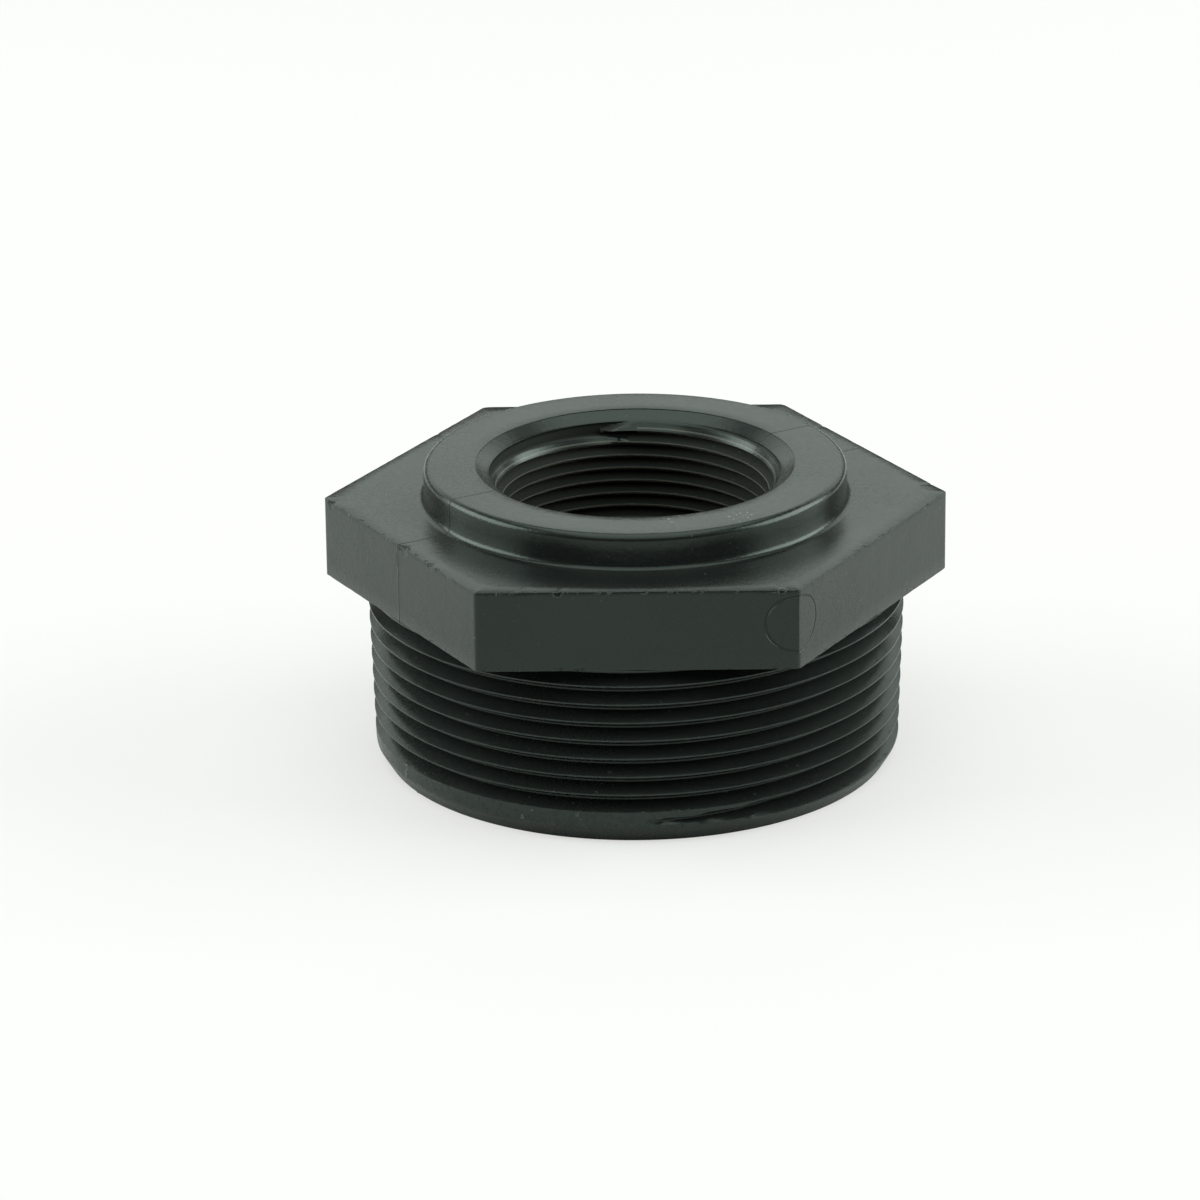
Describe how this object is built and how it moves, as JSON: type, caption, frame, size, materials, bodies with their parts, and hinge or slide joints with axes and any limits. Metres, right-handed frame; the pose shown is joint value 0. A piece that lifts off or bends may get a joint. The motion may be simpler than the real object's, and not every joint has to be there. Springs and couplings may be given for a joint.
{
  "type": "hex bushing",
  "caption": "Moulded black plastic reducing bushing with a hexagonal wrench flange, tapered outer pipe thread and tapered inner pipe thread.",
  "frame": {"origin": "centre of the lower rim, on the common axis of both threads", "axes": "+Z along the axis from the outer thread towards the collar and the inner thread's mouth; two flats of the flange face -Y and +Y"},
  "size_m": [0.103, 0.0894, 0.0499],
  "materials": {
    "black_plastic": "satin moulded polypropylene"
  },
  "bodies": {
    "root": {"hex_bushing": "black_plastic"}
  },
  "joints": []
}
